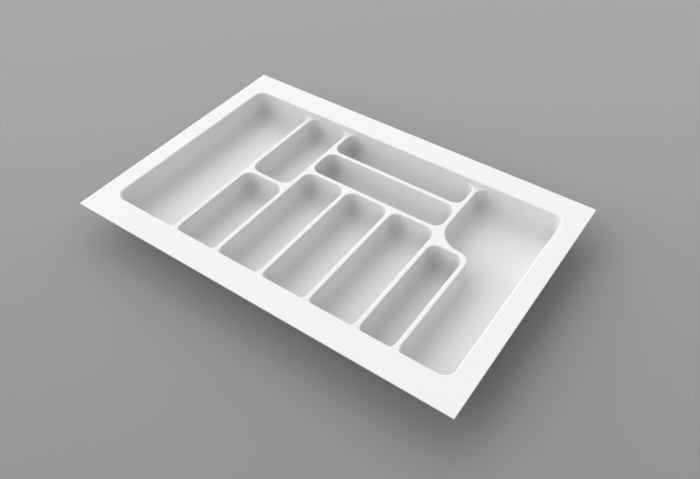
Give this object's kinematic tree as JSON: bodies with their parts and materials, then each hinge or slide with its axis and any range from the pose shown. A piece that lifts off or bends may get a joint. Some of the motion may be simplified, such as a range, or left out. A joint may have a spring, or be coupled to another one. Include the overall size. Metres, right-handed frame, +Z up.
{
  "type": "cutlery tray",
  "caption": "Shallow drawer tray for cutlery formed from one plastic sheet: flat rim, long wells, cross wells and a stepped well, parted by low rounded ridges.",
  "frame": {"origin": "on the surface that the tray stands on, below the middle of the rim", "axes": "+X along the long side to the right, +Y to the back, +Z up"},
  "size_m": [0.73, 0.49, 0.05],
  "materials": {
    "white_sheet": "matt white thermoformed sheet with a very fine grain"
  },
  "bodies": {
    "root": {"rim_back": "white_sheet", "rim_front": "white_sheet", "rim_left": "white_sheet", "rim_right": "white_sheet", "divider_centre_left": "white_sheet", "divider_centre_right": "white_sheet", "divider_cross_back": "white_sheet", "divider_cross_front": "white_sheet", "divider_front_a": "white_sheet", "divider_front_b": "white_sheet", "divider_left": "white_sheet", "divider_left_cross": "white_sheet", "divider_right": "white_sheet", "well_cross_lower": "white_sheet", "well_cross_upper": "white_sheet", "well_front_a": "white_sheet", "well_front_b": "white_sheet", "well_front_c": "white_sheet", "well_left": "white_sheet", "well_left_back": "white_sheet", "well_left_front": "white_sheet", "well_right": "white_sheet", "well_teaspoon": "white_sheet"}
  },
  "joints": []
}
